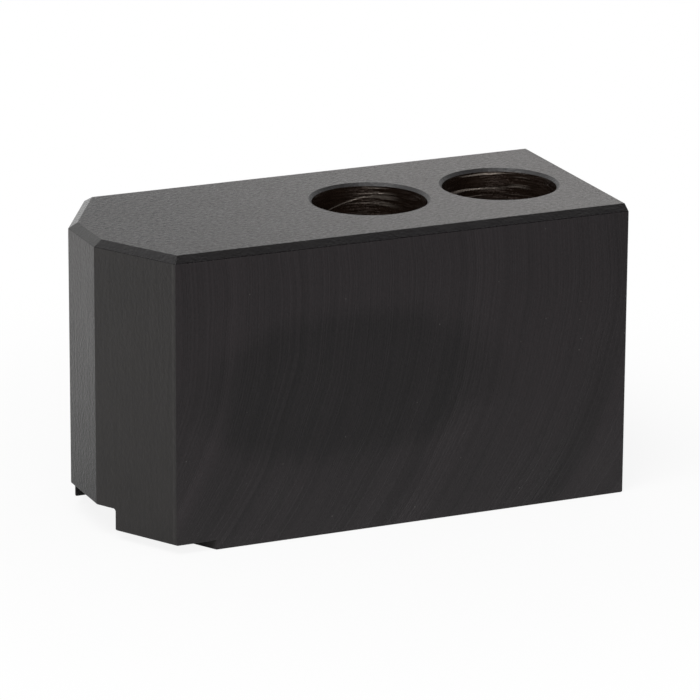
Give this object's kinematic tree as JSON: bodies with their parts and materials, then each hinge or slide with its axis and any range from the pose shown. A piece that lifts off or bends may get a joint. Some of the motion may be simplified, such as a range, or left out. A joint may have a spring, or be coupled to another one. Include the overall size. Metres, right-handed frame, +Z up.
{
  "type": "machinable soft jaw",
  "caption": "Steel soft top jaw block for a three-jaw power chuck, with a bevelled nose, a key groove underneath and counterbored screw holes in a line.",
  "frame": {"origin": "centre of the footing: halfway along the length, on the centreline, in the plane of the two mounting pads", "axes": "+X from the nose towards the back of the jaw, +Y across the width, +Z up away from the base jaw and along the screws"},
  "size_m": [0.088, 0.04, 0.0495],
  "materials": {
    "black_oxide_steel": "milled steel, chemically blackened, thin oil film"
  },
  "bodies": {
    "root": {"soft_jaw": "black_oxide_steel"}
  },
  "joints": []
}
